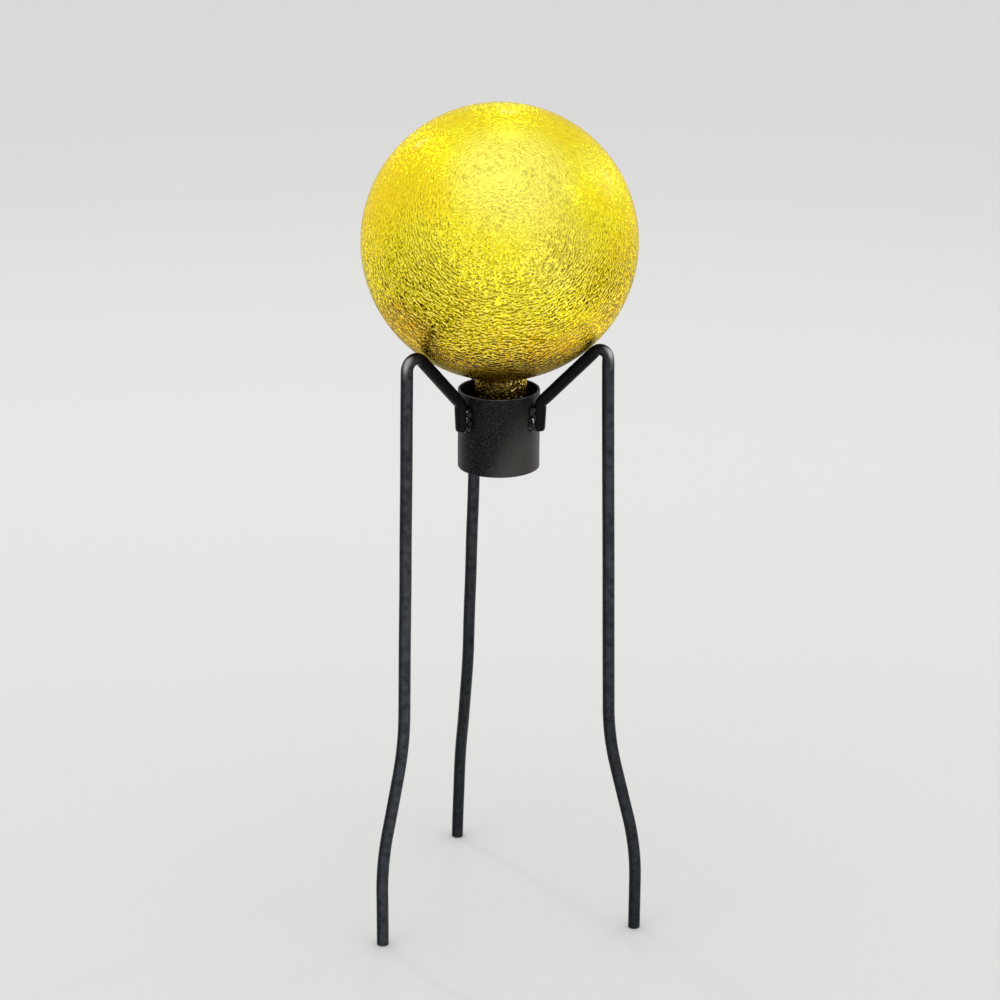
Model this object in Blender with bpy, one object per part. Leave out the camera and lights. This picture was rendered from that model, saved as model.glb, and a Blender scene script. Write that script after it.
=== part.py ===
# Crackle-glass gazing globe resting on a wrought-iron tripod stand
#
# The globe's round belly lies on the three sloping arms of the stand, and its neck hangs free
# inside the collar that the arms are welded to. Sizes are in metres, +Z is up and the feet stand
# on Z = 0. The origin is on the ground, midway between the sides of the whole object.

import math

import bmesh
import bpy
import numpy as np

# Globe: blown glass, one wall from the crown to the end of the neck
globe_diameter = 0.254
glass_wall = 0.003
neck_diameter = 0.050
neck_length = 0.050
neck_fillet = 0.004

# Collar: a short length of steel tube, with room around the neck
neck_room = 0.0111
collar_wall = 0.002
collar_height = 0.075
collar_rim_height = 0.522
collar_edge_round = 0.0004

# Legs: each is one round rod, bent cold
rod_diameter = 0.0114
weld_end_bend_radius = 0.0077
weld_end_length = 0.027
weld_end_below_rim = 0.006
weld_end_lean = math.radians(3.3)
arm_slope = math.radians(46.65)
leg_lean = math.radians(1.1)
knee_upper_height = 0.195
knee_lower_height = 0.084
knee_step_out = 0.0290
knee_bend_radius = 0.250
foot_upright = 0.004

# The rods were bent and welded on by hand. Each has its own place round the collar and its own
# direction for the arm, seen from above, and it leans a little to one side
weld_directions = {
    "front_left": math.radians(210.2),
    "front_right": math.radians(318.1),
    "back": math.radians(91.9),
}
arm_directions = {
    "front_left": math.radians(214.5),
    "front_right": math.radians(330.8),
    "back": math.radians(92.0),
}
side_leans = {
    "front_left": math.radians(0.2),
    "front_right": math.radians(-0.2),
    "back": math.radians(1.5),
}

# Each rod's shoulder, where the arm turns down into the leg: the radius of the bend along the rod's
# middle, and how far past the contact with the globe the bend begins. The front left bend is the
# widest and begins just before the contact
shoulder_bend_radii = {
    "front_left": 0.0103,
    "front_right": 0.0074,
    "back": 0.0077,
}
arms_past_globe = {
    "front_left": -0.0054,
    "front_right": 0.0004,
    "back": 0.0002,
}

# Weld beads: one down each side of a rod's end
bead_width = 0.0048
bead_end_margin = 0.0015
bead_ripples = 5
bead_ripple_depth = 0.07

# Pieces that touch keep this gap between their meshes
touch_gap = 0.0003

# Fineness of the round shapes
turn_steps = 48
globe_arc_step = math.radians(8.0)
fillet_arc_step = math.radians(22.0)
bend_arc_step = math.radians(12.0)
knee_arc_step = math.radians(3.5)
rod_bevel_resolution = 4
bead_steps = 8
bead_rings = 11
smooth_below = math.radians(35.0)


# Sizes that follow from the ones above
globe_radius = globe_diameter / 2
neck_radius = neck_diameter / 2
rod_radius = rod_diameter / 2
collar_bore_radius = neck_radius + neck_room
collar_outer_radius = collar_bore_radius + collar_wall
rod_end_radius = collar_outer_radius + touch_gap + rod_radius
arm_foot_height = collar_rim_height - weld_end_below_rim
rod_end_height = arm_foot_height - weld_end_length * math.cos(weld_end_lean)
rod_end_step = weld_end_length * math.sin(weld_end_lean)

# The globe's centre is on the stand's axis, at the height where an arm that points straight at the
# axis, with the named slope, just touches the glass
contact_distance = globe_radius + touch_gap + rod_radius
globe_above_arm_foot = (
    contact_distance - (rod_end_radius + rod_end_step) * math.sin(arm_slope)
) / math.cos(arm_slope)
globe_height = arm_foot_height + globe_above_arm_foot


def rod_aside(leg, height):
    """How far a rod is to the side of the line through the stand's axis that its arm is along."""
    at_weld = rod_end_radius * math.sin(weld_directions[leg] - arm_directions[leg])
    return at_weld + (rod_end_height - height) * math.tan(side_leans[leg])


def rod_corners(leg):
    """The corners of a rod's centre line: (out along its arm's direction, height).

    The arm's own slope makes it touch the globe from where it stands, and beside the contact it
    turns down into the leg.
    """
    end_out = rod_end_radius * math.cos(weld_directions[leg] - arm_directions[leg])
    arm_out = end_out + rod_end_step
    aside = rod_aside(leg, arm_foot_height + globe_above_arm_foot / 2)
    reach = math.sqrt(contact_distance**2 - aside**2)
    to_globe = math.hypot(globe_above_arm_foot, arm_out)
    slope = math.atan2(arm_out, globe_above_arm_foot) + math.acos(reach / to_globe)
    contact = math.sqrt(to_globe**2 - reach**2)
    shoulder_turn = math.pi / 2 + slope - leg_lean
    bend_reach = shoulder_bend_radii[leg] * math.tan(shoulder_turn / 2)
    arm_length = contact + arms_past_globe[leg] + bend_reach
    shoulder_out = arm_out + arm_length * math.cos(slope)
    shoulder_height = arm_foot_height + arm_length * math.sin(slope)
    knee_out = shoulder_out + (shoulder_height - knee_upper_height) * math.tan(leg_lean)
    foot_out = knee_out + knee_step_out
    return [
        (end_out, rod_end_height),
        (arm_out, arm_foot_height),
        (shoulder_out, shoulder_height),
        (knee_out, knee_upper_height),
        (foot_out, knee_lower_height),
        (foot_out, 0.0),
    ]


def foot_place(leg):
    """A foot's place from the stand's axis: (x, y)."""
    out = rod_corners(leg)[-1][0]
    aside = rod_aside(leg, foot_upright)
    direction = arm_directions[leg]
    return (
        out * math.cos(direction) - aside * math.sin(direction),
        out * math.sin(direction) + aside * math.cos(direction),
    )


def stand_axis_place():
    """The stand's axis, placed so that the whole object's sides are midway about the origin."""
    middle = []
    for feet in zip(*(foot_place(leg) for leg in arm_directions)):
        high = max(globe_radius, max(feet) + rod_radius)
        low = min(-globe_radius, min(feet) - rod_radius)
        middle.append((high + low) / 2)
    return (-middle[0], -middle[1], 0.0)


def arc(centre, radius, start, end, step):
    """Points on a circle from one angle to the other, both included."""
    count = max(1, math.ceil(abs(end - start) / step))
    return [
        (centre[0] + radius * math.cos(angle), centre[1] + radius * math.sin(angle))
        for angle in np.linspace(start, end, count + 1)
    ]


def bent_path(corners, radii, steps):
    """A line through the corners, each inner one rounded by an arc of its own radius."""
    points = [tuple(corners[0])]
    for index, (radius, step) in enumerate(zip(radii, steps), start=1):
        corner = np.array(corners[index])
        back = np.array(corners[index - 1]) - corner
        ahead = np.array(corners[index + 1]) - corner
        back /= np.linalg.norm(back)
        ahead /= np.linalg.norm(ahead)
        half_angle = math.acos(float(np.clip(back @ ahead, -1.0, 1.0))) / 2
        middle = (back + ahead) / np.linalg.norm(back + ahead)
        centre = corner + middle * radius / math.sin(half_angle)
        first = corner + back * radius / math.tan(half_angle) - centre
        last = corner + ahead * radius / math.tan(half_angle) - centre
        start = math.atan2(first[1], first[0])
        turn = math.atan2(last[1], last[0]) - start
        turn = (turn + math.pi) % (2 * math.pi) - math.pi
        points += arc(centre, radius, start, start + turn, step)
    points.append(tuple(corners[-1]))
    return points


def paint(name, colour, roughness, metallic):
    """A plain material of the piece's own colour and finish."""
    material = bpy.data.materials.new(name)
    material.use_nodes = True
    shader = material.node_tree.nodes["Principled BSDF"]
    shader.inputs["Base Color"].default_value = (*colour, 1.0)
    shader.inputs["Roughness"].default_value = roughness
    shader.inputs["Metallic"].default_value = metallic
    return material


def turned_mesh(name, outline, steps, closed):
    """A solid of revolution about Z from (radius, height) points, shaded smooth."""
    bm = bmesh.new()
    verts = [bm.verts.new((radius, 0.0, height)) for radius, height in outline]
    edges = [bm.edges.new(pair) for pair in zip(verts, verts[1:])]
    if closed:
        edges.append(bm.edges.new((verts[-1], verts[0])))
    bmesh.ops.spin(
        bm,
        geom=verts + edges,
        cent=(0.0, 0.0, 0.0),
        axis=(0.0, 0.0, 1.0),
        angle=2 * math.pi,
        steps=steps,
    )
    bmesh.ops.remove_doubles(bm, verts=bm.verts, dist=0.00001)
    bmesh.ops.recalc_face_normals(bm, faces=bm.faces)
    mesh = bpy.data.meshes.new(name)
    bm.to_mesh(mesh)
    bm.free()
    mesh.shade_smooth()
    mesh.set_sharp_from_angle(angle=smooth_below)
    return mesh


def globe_outline():
    """The glass wall about the globe's centre: down the outside, round the neck's end, back up.

    The fillets outside and inside the wall share one centre, so the wall keeps its thickness.
    """
    fillet_x = neck_radius + neck_fillet
    fillet_z = -math.sqrt((globe_radius + neck_fillet) ** 2 - fillet_x**2)
    fillet_centre = (fillet_x, fillet_z)
    meeting = math.atan2(fillet_z, fillet_x)
    neck_end = -globe_radius - neck_length
    points = arc((0.0, 0.0), globe_radius, math.pi / 2, meeting, globe_arc_step)
    points += arc(fillet_centre, neck_fillet, meeting + math.pi, math.pi, fillet_arc_step)[1:]
    points.append((neck_radius, neck_end))
    points.append((neck_radius - glass_wall, neck_end))
    inside_fillet = neck_fillet + glass_wall
    points += arc(fillet_centre, inside_fillet, math.pi, meeting + math.pi, fillet_arc_step)
    inside_radius = globe_radius - glass_wall
    points += arc((0.0, 0.0), inside_radius, meeting, math.pi / 2, globe_arc_step)[1:]
    return on_axis(points)


def on_axis(points):
    """The same points, with the first and the last set exactly on the axis."""
    return [(0.0, points[0][1]), *points[1:-1], (0.0, points[-1][1])]


def collar_outline():
    """The tube's wall below its rim, with the sharp edges broken."""
    edge = collar_edge_round
    inner = collar_bore_radius
    outer = collar_outer_radius
    return [
        (inner + edge, 0.0),
        (outer - edge, 0.0),
        (outer, -edge),
        (outer, edge - collar_height),
        (outer - edge, -collar_height),
        (inner + edge, -collar_height),
        (inner, edge - collar_height),
        (inner, -edge),
    ]


def bead_outline():
    """Half of a weld bead's section along its length: a sausage with a light ripple."""
    half_length = weld_end_length / 2 - bead_end_margin
    points = []
    for along in np.linspace(math.pi / 2, -math.pi / 2, bead_rings):
        ripple = 1.0 - bead_ripple_depth * (0.5 + 0.5 * math.cos(2 * bead_ripples * along))
        points.append((bead_width / 2 * ripple * math.cos(along) ** 0.5, half_length * math.sin(along)))
    return on_axis(points)


def rod_curve(leg):
    """A leg's rod, with +X along its arm away from the stand's axis, and +Y aside.

    The last stretch above the ground is upright, so that the foot's cut end lies flat.
    """
    radii = [weld_end_bend_radius, shoulder_bend_radii[leg], knee_bend_radius, knee_bend_radius]
    steps = [bend_arc_step, bend_arc_step, knee_arc_step, knee_arc_step]
    path = bent_path(rod_corners(leg), radii, steps)
    path.insert(-1, (path[-1][0], foot_upright))
    curve = bpy.data.curves.new("leg_" + leg, "CURVE")
    curve.dimensions = "3D"
    curve.bevel_depth = rod_radius
    curve.bevel_resolution = rod_bevel_resolution
    curve.use_fill_caps = True
    spline = curve.splines.new("POLY")
    spline.points.add(len(path) - 1)
    for point, (out, height) in zip(spline.points, path):
        point.co = (out, rod_aside(leg, max(height, foot_upright)), height, 1.0)
    return curve


def bead_place(leg, side):
    """Where a bead of round section touches both the collar and the rod beside it.

    The rod leans aside along the bead, so the bead keeps that much more room beside its lower end.
    """
    to_axis = collar_outer_radius + touch_gap + bead_width / 2
    swing = weld_end_length * abs(math.tan(side_leans[leg]))
    to_rod = rod_radius + touch_gap + bead_width / 2 + swing
    out = (rod_end_radius**2 + to_axis**2 - to_rod**2) / (2 * rod_end_radius)
    direction = weld_directions[leg] + side * math.acos(out / to_axis)
    height = (arm_foot_height + rod_end_height) / 2
    return (to_axis * math.cos(direction), to_axis * math.sin(direction), height)


def add_piece(name, data, material, parent, place=(0.0, 0.0, 0.0), direction=0.0):
    """One named object with its material, placed under its parent and turned about Z."""
    if not data.materials:
        data.materials.append(material)
    piece = bpy.data.objects.new(name, data)
    piece.location = place
    piece.rotation_euler = (0.0, 0.0, direction)
    piece.parent = parent
    bpy.context.scene.collection.objects.link(piece)
    return piece


for old in list(bpy.data.objects):
    bpy.data.objects.remove(old)

stand_axis = bpy.data.objects.new("stand_axis", None)
stand_axis.location = stand_axis_place()
bpy.context.scene.collection.objects.link(stand_axis)

yellow_glass = paint("yellow_crackle_glass", (0.80, 0.61, 0.02), 0.22, 0.7)
black_coat = paint("black_powder_coat", (0.018, 0.018, 0.020), 0.45, 0.2)
black_weld = paint("black_coated_weld", (0.022, 0.022, 0.025), 0.28, 0.3)

globe_mesh = turned_mesh("glass_globe", globe_outline(), turn_steps, closed=False)
add_piece("glass_globe", globe_mesh, yellow_glass, stand_axis, (0.0, 0.0, globe_height))

collar_mesh = turned_mesh("collar", collar_outline(), turn_steps, closed=True)
add_piece("collar", collar_mesh, black_coat, stand_axis, (0.0, 0.0, collar_rim_height))

weld_bead = turned_mesh("weld", bead_outline(), bead_steps, closed=False)
for leg, direction in arm_directions.items():
    add_piece("leg_" + leg, rod_curve(leg), black_coat, stand_axis, direction=direction)
    for letter, side in (("a", 1.0), ("b", -1.0)):
        bead_name = "weld_" + leg + "_" + letter
        add_piece(bead_name, weld_bead, black_weld, stand_axis, bead_place(leg, side))
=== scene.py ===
# Looks of the crackle-glass gazing globe on its wrought-iron tripod stand
#
# The stand comes first: the collar, the three bent rods and the welds that join them. The globe is
# then set on the rods with its neck in the collar. Sizes are in metres and +Z is up.

import math

import bpy
import numpy as np
from mathutils import Euler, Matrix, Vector


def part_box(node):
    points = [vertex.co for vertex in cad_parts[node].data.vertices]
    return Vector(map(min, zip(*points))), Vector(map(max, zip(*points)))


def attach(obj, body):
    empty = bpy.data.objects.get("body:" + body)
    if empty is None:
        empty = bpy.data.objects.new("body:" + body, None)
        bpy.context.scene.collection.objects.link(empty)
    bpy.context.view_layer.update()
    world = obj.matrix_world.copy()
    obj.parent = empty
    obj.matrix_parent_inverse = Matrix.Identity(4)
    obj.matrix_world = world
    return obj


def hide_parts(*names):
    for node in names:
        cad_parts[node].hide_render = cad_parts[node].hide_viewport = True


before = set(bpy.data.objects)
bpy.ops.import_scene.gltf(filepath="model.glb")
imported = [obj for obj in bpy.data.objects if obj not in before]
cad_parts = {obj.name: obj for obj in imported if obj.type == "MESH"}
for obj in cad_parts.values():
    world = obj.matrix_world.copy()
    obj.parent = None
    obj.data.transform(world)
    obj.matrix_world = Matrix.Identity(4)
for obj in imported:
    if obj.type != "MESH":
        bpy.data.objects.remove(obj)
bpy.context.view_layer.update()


# Camera: stands three metres away and higher than the globe, and looks down on the stand slightly from
# its left. The tiny roll is the tilt of the hand-held shot.
camera_azimuth = -8.97
camera_elevation = 19.20
camera_distance = 3.0
camera_roll = math.radians(0.29)
camera_lens = 115.23
camera_sensor = 36.0
aim_height = 0.4124
aim_right = 0.0015


def way_of(azimuth, elevation):
    """The direction at an azimuth, from the front towards the right, and an elevation, in degrees:
    across by the azimuth's sine and back by minus its cosine, both times the elevation's cosine,
    and up by the elevation's sine."""
    a, e = math.radians(azimuth), math.radians(elevation)
    return Vector((math.sin(a) * math.cos(e), -math.cos(a) * math.cos(e), math.sin(e)))


def box_middle(node):
    """The middle of a solid's box: half-way between its lowest and highest corners."""
    low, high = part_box(node)
    return (low + high) / 2


stand_axis = box_middle("collar")
camera_right = way_of(camera_azimuth + 90.0, 0.0)
camera_back = way_of(camera_azimuth, camera_elevation)
camera_aim = Vector((stand_axis.x, stand_axis.y, aim_height)) + camera_right * aim_right

camera_data = bpy.data.cameras.new("camera")
camera_data.lens = camera_lens
camera_data.sensor_width = camera_sensor
camera = bpy.data.objects.new("camera", camera_data)
bpy.context.scene.collection.objects.link(camera)
camera.location = camera_aim + camera_back * camera_distance
turned = (-camera_back).to_track_quat("-Z", "Y").to_matrix() @ Euler((0.0, 0.0, camera_roll)).to_matrix()
camera.rotation_euler = turned.to_euler()
bpy.context.scene.camera = camera
bpy.context.scene.view_settings.view_transform = "Standard"


# Collar: a short length of steel tube, cut square at both ends and powder coated with the rest of the
# stand. The coat is satin black with a fine grain, with a thin painted highlight in places along the rim
# and a painted sheen low down on one side.
collar_low, collar_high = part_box("collar")
collar_outer_radius = (collar_high.x - collar_low.x) / 2
collar_wall = 0.0020
collar_edge_round = 0.0007
collar_edge_steps = 5
collar_ring_gap = 0.0025
collar_columns = 192
collar_unevenness = 0.00012
collar_swell_lengths = (0.055, 0.034, 0.021)

coat_colour = (0.0020, 0.0022, 0.0027, 1.0)
coat_grain_colour = (0.060, 0.064, 0.074, 1.0)
coat_fleck_colour = (0.22, 0.22, 0.21, 1.0)
coat_grain_size = 0.0012
coat_grain_range = (0.44, 0.72)
coat_fine_size = 0.0007
coat_fine_share = 0.6
coat_bump_depth = 0.00030
coat_gloss_range = (0.3, 0.7)
coat_gloss_change = 0.07
coat_fleck_size = 0.0075
coat_fleck_range = (0.05, 0.03)
collar_roughness = 0.50
collar_shine = 0.13
# Painted shade: the collar's copy of the coat is scaled darker, for the shade under the globe.
collar_painted_shade = 0.50
# Painted sheen: a lighter brownish grey low down on one side of the collar, standing for light falling
# there.
sheen_colour = (0.085, 0.078, 0.070, 1.0)
sheen_way = way_of(50.0, 0.0) - Vector((0.0, 0.0, 0.45))
sheen_range = (0.45 * collar_outer_radius, 1.15 * collar_outer_radius)
sheen_share = 0.68
# Painted highlight: a thin pale line in places just below the collar's rim.
rim_highlight_colour = (0.20, 0.20, 0.19, 1.0)
rim_highlight_depth = 0.0006
rim_highlight_size = 0.012
rim_highlight_range = (0.35, 0.60)
rim_highlight_least = 0.25


def surface(name, rings, tips=None):
    """A closed mesh through rows of points: each row is a ring that is joined to the next by
    four-sided faces. With two tips a fan closes each end, and without them the last row joins
    the first. The columns run counter-clockwise about the way that the rows advance."""
    rows, columns = rings.shape[:2]
    index = np.arange(rows * columns).reshape(rows, columns)
    if tips is None:
        index = np.vstack([index, index[:1]])
    beside = np.roll(index, -1, axis=1)
    quads = np.stack([index[:-1], beside[:-1], beside[1:], index[1:]], axis=-1).reshape(-1, 4)
    points = rings.reshape(-1, 3)
    faces = quads.tolist()
    if tips is not None:
        first, last = len(points), len(points) + 1
        points = np.vstack([points, tips])
        faces += np.stack([np.full(columns, first), beside[0], index[0]], axis=-1).tolist()
        faces += np.stack([index[-1], beside[-1], np.full(columns, last)], axis=-1).tolist()
    mesh = bpy.data.meshes.new(name)
    mesh.from_pydata(points.tolist(), [], faces)
    mesh.shade_smooth()
    piece = bpy.data.objects.new(name, mesh)
    bpy.context.scene.collection.objects.link(piece)
    return piece


def arc(centre, radius, start, end, steps):
    """Points on a circle, from one angle to the other in equal steps, both included."""
    angle = np.linspace(start, end, steps + 1)
    return np.stack([centre[0] + radius * np.cos(angle), centre[1] + radius * np.sin(angle)], axis=-1)


def line(start, end, gap):
    """Points on a straight line in equal steps of about the gap, both ends left out."""
    start, end = np.array(start), np.array(end)
    steps = max(2, round(float(np.linalg.norm(end - start)) / gap))
    share = np.linspace(0.0, 1.0, steps + 1)[1:-1, None]
    return start + (end - start) * share


def turned_rings(outline, columns, middle):
    """Rings about a vertical axis: each outline point (radius, height) goes round it, so x and y
    are the radius times the cosine and the sine of the turn, and z is the height."""
    turn = np.linspace(0.0, 2 * np.pi, columns, endpoint=False)
    radius, height = outline[:, :1], outline[:, 1:]
    return np.stack(
        [middle.x + radius * np.cos(turn), middle.y + radius * np.sin(turn), height + 0.0 * turn],
        axis=-1,
    )


def tube_outline(outer, inner, low, high, edge, steps, gap):
    """A tube wall's section: up the outer side, over the rim, down the bore and back, with each
    of its four edges a quarter circle."""
    quarter = math.pi / 2
    return np.vstack(
        [
            arc((outer - edge, low + edge), edge, -quarter, 0.0, steps),
            line((outer, low + edge), (outer, high - edge), gap),
            arc((outer - edge, high - edge), edge, 0.0, quarter, steps),
            arc((inner + edge, high - edge), edge, quarter, 2 * quarter, steps),
            line((inner, high - edge), (inner, low + edge), gap),
            arc((inner + edge, low + edge), edge, 2 * quarter, 3 * quarter, steps),
        ]
    )


def swell(points, depth, wavelengths, seed):
    """Soft unevenness: three plane waves of random direction and phase, added up, times the depth."""
    chance = np.random.default_rng(seed)
    total = np.zeros(points.shape[:-1])
    for wavelength in wavelengths:
        direction = chance.normal(size=3)
        direction *= 2 * math.pi / (wavelength * np.linalg.norm(direction))
        total += np.sin(points @ direction + chance.uniform(0.0, 2 * math.pi))
    return total * depth / len(wavelengths)


def add_node(tree, kind, inputs, **settings):
    """One shader node. Each input takes a plain value or another node's output."""
    made = tree.nodes.new("ShaderNode" + kind)
    for key, value in settings.items():
        setattr(made, key, value)
    for key, value in inputs.items():
        if isinstance(value, bpy.types.NodeSocket):
            tree.links.new(value, made.inputs[key])
        else:
            made.inputs[key].default_value = value
    return made


def sum_of(tree, operation, *values):
    """A Math node's result, for the operation that is named."""
    return add_node(tree, "Math", dict(enumerate(values)), operation=operation).outputs[0]


def ranged(tree, value, low, high, to_low=0.0, to_high=1.0):
    """A value eased from one range to another, and held at its ends."""
    inputs = {"Value": value, "From Min": low, "From Max": high, "To Min": to_low, "To Max": to_high}
    return add_node(tree, "MapRange", inputs, interpolation_type="SMOOTHSTEP").outputs[0]


def how_far(tree, place, way):
    """How far a place lies along a way: the sum of the products of their three parts."""
    return add_node(tree, "VectorMath", {0: place, 1: way}, operation="DOT_PRODUCT").outputs["Value"]


def cloud(tree, place, size, detail):
    """Soft random blotches of about a size, from 0 to 1 and mostly near 0.5."""
    made = add_node(tree, "TexNoise", {"Vector": place, "Scale": 1 / size, "Detail": detail})
    return made.outputs["Fac"]


def shaded(colour, shade):
    """A colour made darker or lighter: its red, green and blue times the shade."""
    return tuple(shade * part for part in colour[:3]) + (1.0,)


def blended(tree, share, first, second):
    """Two colours mixed by a share: 0 gives the first, 1 the second."""
    made = add_node(tree, "Mix", {0: share, 6: first, 7: second}, data_type="RGBA")
    return made.outputs[2]


def finish_of(name):
    """A new material's node tree and its main shader."""
    material = bpy.data.materials.new(name)
    material.use_nodes = True
    return material, material.node_tree, material.node_tree.nodes["Principled BSDF"]


def powder_coat(name, roughness, bump_depth, shade):
    """Satin black powder coat: two sizes of grain tint it and raise it, and a few pale flecks of dust
    lie on it. Its colours are scaled by the shade, so each part gets its own darker copy of the coat as
    painted shade. Gives the material, its tree and shader, the place and the colour."""
    material, tree, shader = finish_of(name)
    place = add_node(tree, "TexCoord", {}).outputs["Object"]
    grain = cloud(tree, place, coat_grain_size, 2.0)
    fine = cloud(tree, place, coat_fine_size, 1.0)
    fleck = add_node(tree, "TexVoronoi", {"Vector": place, "Scale": 1 / coat_fleck_size})
    grained = ranged(tree, grain, *coat_grain_range)
    colour = blended(tree, grained, shaded(coat_colour, shade), shaded(coat_grain_colour, shade))
    flecks_and_glints = ranged(tree, fleck.outputs["Distance"], *coat_fleck_range)
    colour = blended(tree, flecks_and_glints, colour, coat_fleck_colour)
    tree.links.new(colour, shader.inputs["Base Color"])
    rough, smooth = roughness + coat_gloss_change, roughness - coat_gloss_change
    tree.links.new(ranged(tree, grain, *coat_gloss_range, rough, smooth), shader.inputs["Roughness"])
    height = sum_of(tree, "MULTIPLY_ADD", fine, coat_fine_share, grain)
    bump = add_node(tree, "Bump", {"Height": height, "Distance": bump_depth, "Strength": 1.0})
    tree.links.new(bump.outputs["Normal"], shader.inputs["Normal"])
    return material, tree, shader, place, colour


def collar_coat_with_painted_light(name):
    """The same coat, with a painted sheen low down on one side of the collar, and a painted highlight in
    places over the last bit below its rim."""
    made = powder_coat(name, collar_roughness, coat_bump_depth, collar_painted_shade)
    material, tree, shader, place, colour = made
    centred = add_node(tree, "Mapping", {"Vector": place, "Location": -stand_axis}).outputs[0]
    sheened = ranged(tree, how_far(tree, centred, sheen_way), *sheen_range, 0.0, sheen_share)
    colour = blended(tree, sheened, colour, sheen_colour)
    height = add_node(tree, "SeparateXYZ", {0: place}).outputs["Z"]
    near = ranged(tree, height, collar_high.z - rim_highlight_depth, collar_high.z - rim_highlight_depth / 4)
    painted_light = ranged(tree, cloud(tree, place, rim_highlight_size, 3.0), *rim_highlight_range, rim_highlight_least, 1.0)
    painted_light = sum_of(tree, "MULTIPLY", near, painted_light)
    tree.links.new(blended(tree, painted_light, colour, rim_highlight_colour), shader.inputs["Base Color"])
    shader.inputs["Specular IOR Level"].default_value = collar_shine
    return material


collar_section = tube_outline(
    collar_outer_radius,
    collar_outer_radius - collar_wall,
    collar_low.z,
    collar_high.z,
    collar_edge_round,
    collar_edge_steps,
    collar_ring_gap,
)
collar_rings = turned_rings(collar_section, collar_columns, stand_axis)
collar_outward = collar_rings - np.array(stand_axis)
collar_outward[..., 2] = 0.0
collar_outward /= np.linalg.norm(collar_outward, axis=-1, keepdims=True)
collar_swell = swell(collar_rings, collar_unevenness, collar_swell_lengths, seed=3)
collar = surface("collar_coated", collar_rings + collar_outward * collar_swell[..., None])
collar.data.materials.append(collar_coat_with_painted_light("black_powder_coat_collar"))
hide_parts("collar")
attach(collar, "root")


# Legs: three round steel rods, each bent cold: a short end against the collar, a sloping arm under
# the globe, a tight bend down into the leg, and a gentle step out to the foot. They were bent and
# welded on by hand, so each has its own place, direction, lean and shoulder bend.
rod_radius = 0.0057
rod_touch_gap = 0.0003
weld_end_bend_radius = 0.0077
weld_end_length = 0.027
weld_end_below_rim = 0.006
weld_end_lean = math.radians(3.3)
leg_lean = math.radians(1.1)
knee_upper_height = 0.195
knee_lower_height = 0.084
knee_step_out = 0.0290
knee_bend_radius = 0.250
foot_upright = 0.004
weld_directions = {
    "front_left": math.radians(210.2),
    "front_right": math.radians(318.1),
    "back": math.radians(91.9),
}
arm_directions = {
    "front_left": math.radians(214.5),
    "front_right": math.radians(330.8),
    "back": math.radians(92.0),
}
side_leans = {
    "front_left": math.radians(0.2),
    "front_right": math.radians(-0.2),
    "back": math.radians(1.5),
}
shoulder_bend_radii = {"front_left": 0.0103, "front_right": 0.0074, "back": 0.0077}
arms_past_globe = {"front_left": -0.0054, "front_right": 0.0004, "back": 0.0002}
rod_ring_gap = 0.0022
rod_columns = 36
weld_end_round = 0.0026
foot_end_round = 0.0007
rod_end_steps = 6
bend_flattening = 0.07
bend_widening = 0.035
rod_unevenness = 0.00030
rod_unevenness_fade = 0.05
rod_swell_lengths = (0.29, 0.17, 0.08)
rod_sway_lengths = (0.33, 0.15, 0.07)

rod_roughness = 0.36
rod_shine = 0.05
# Painted shade: the rods' copy of the coat is scaled darker.
rod_painted_shade = 0.4
# Painted shade: the arms under the globe are darker, fading out just past the shoulder.
arm_shade_colour = (0.0060, 0.0062, 0.0068, 1.0)
arm_shade_before = 0.006
# Painted highlight: pale grey along the outer, front and upper side of each shoulder bend.
bend_highlight_colour = (0.56, 0.57, 0.59, 1.0)
bend_highlight_size = 0.0060
bend_highlight_range = (0.35, 0.55)
bend_highlight_least = 0.60
bend_highlight_start, bend_highlight_peak, bend_highlight_end = -0.003, 0.007, 0.022
bend_highlight_ways = (0.50, -0.60, 0.50)
bend_highlight_facing = (0.80, 0.97)
# Painted light: the legs are lighter on the side that faces the front, by a share that changes with
# height on each leg.
lit_front_colour = (0.074, 0.080, 0.094, 1.0)
lit_front_size = 0.007
lit_front_range = (0.30, 0.66)
lit_front_least, lit_front_most = 0.30, 0.72
lit_front_way = way_of(5.0, 0.0)
lit_front_facing = (0.42, 0.94)
lit_front_heights = (0.0, 0.10, 0.20, 0.36, 0.52)
lit_front_shares = {
    "front_left": (0.75, 1.0, 1.1, 1.15, 1.0),
    "front_right": (0.35, 0.60, 0.55, 0.95, 0.90),
    "back": (0.35, 0.45, 0.50, 0.85, 0.85),
}

globe_low, globe_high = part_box("glass_globe")
globe_radius = (globe_high.x - globe_low.x) / 2
globe_middle = Vector((stand_axis.x, stand_axis.y, globe_high.z - globe_radius))
rod_end_radius = collar_outer_radius + rod_touch_gap + rod_radius
arm_foot_height = collar_high.z - weld_end_below_rim
rod_end_height = arm_foot_height - weld_end_length * math.cos(weld_end_lean)


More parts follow.
